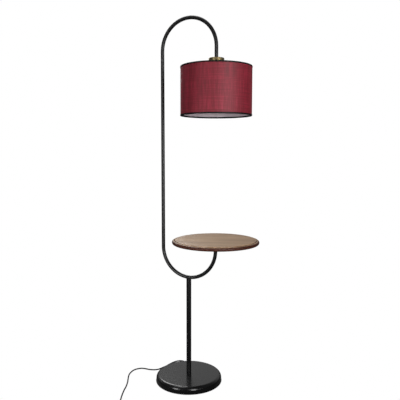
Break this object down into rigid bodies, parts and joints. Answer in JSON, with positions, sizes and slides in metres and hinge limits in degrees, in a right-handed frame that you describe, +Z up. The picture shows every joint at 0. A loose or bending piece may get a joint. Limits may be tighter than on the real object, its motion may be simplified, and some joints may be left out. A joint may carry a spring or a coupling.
{
  "type": "floor lamp with table",
  "caption": "Floor lamp with a round weighted base, a hoop of bent tube on a pole, a fabric drum shade hanging from the arch and a round wooden side table.",
  "frame": {"origin": "centre of the base's underside, on the floor and on the pole's axis", "axes": "+Z up along the pole, +X from the pole towards the shade and the table, the hoop in the XZ plane"},
  "size_m": [0.605, 0.5409, 1.626],
  "materials": {
    "black_paint": "satin",
    "walnut": "satin",
    "antique_brass": "satin",
    "yellow_brass": "plain",
    "burgundy_fabric": "woven",
    "black_ribbon": "woven",
    "shade_liner_film": "matt",
    "white_paint": "satin",
    "opal_glass": "opal",
    "white_plastic": "matt",
    "nickel_cap": "plain",
    "ceramic": "glazed",
    "holder_plastic": "gloss",
    "cast_iron": "rough",
    "zinc_steel": "plain",
    "screw_steel": "plain",
    "felt": "felt",
    "black_plastic": "satin",
    "button_plastic": "satin",
    "black_rubber": "matt",
    "tie_strap": "woven",
    "plated_pins": "plain"
  },
  "bodies": {
    "lamp": {"base_pad": "felt", "base_plate": "zinc_steel", "base_weight": "cast_iron", "base_cover": "black_paint", "base_screws": "screw_steel", "cord_gland": "black_plastic", "cord_clamp": "white_plastic", "clamp_screws": "screw_steel", "pole": "black_paint", "pole_bush": "zinc_steel", "pole_nipple": "yellow_brass", "pole_washer": "zinc_steel", "pole_nut": "zinc_steel", "lower_hoop": "black_paint", "hoop_sleeve": "zinc_steel", "upper_hoop": "black_paint", "table_flange": "black_paint", "table_screws": "screw_steel", "table_top": "walnut", "inner_cable": "white_plastic", "arm_bush": "zinc_steel", "holder_nipple": "yellow_brass", "holder_cup": "antique_brass", "holder_nut": "yellow_brass", "holder_cap": "holder_plastic", "holder_body": "holder_plastic", "holder_core": "ceramic", "socket_shell": "yellow_brass", "upper_collar": "holder_plastic", "lower_collar": "holder_plastic", "shade_carrier": "white_paint", "shade_bottom_ring": "white_paint", "shade_liner": "shade_liner_film", "shade_fabric": "burgundy_fabric", "shade_top_trim": "black_ribbon", "shade_bottom_trim": "black_ribbon", "bulb_cap": "nickel_cap", "bulb_housing": "white_plastic", "bulb_globe": "opal_glass", "flex_lead": "black_rubber", "switch_base": "black_plastic", "switch_cover": "black_plastic", "switch_module": "ceramic", "switch_sleeves": "black_rubber", "switch_screws": "screw_steel", "flex_link": "black_rubber", "flex_coil": "black_rubber", "coil_tie": "tie_strap", "flex_tail": "black_rubber", "plug_body": "black_rubber", "plug_pins": "plated_pins"},
    "button": {"switch_button": "button_plastic"}
  },
  "joints": [
    {"name": "button_press", "type": "slide", "parent": "lamp", "child": "button", "axis": [0, 0, -1], "range_m": [0, 0.003], "stiffness_N_per_m": 1500, "springref_m": -0.001}
  ]
}
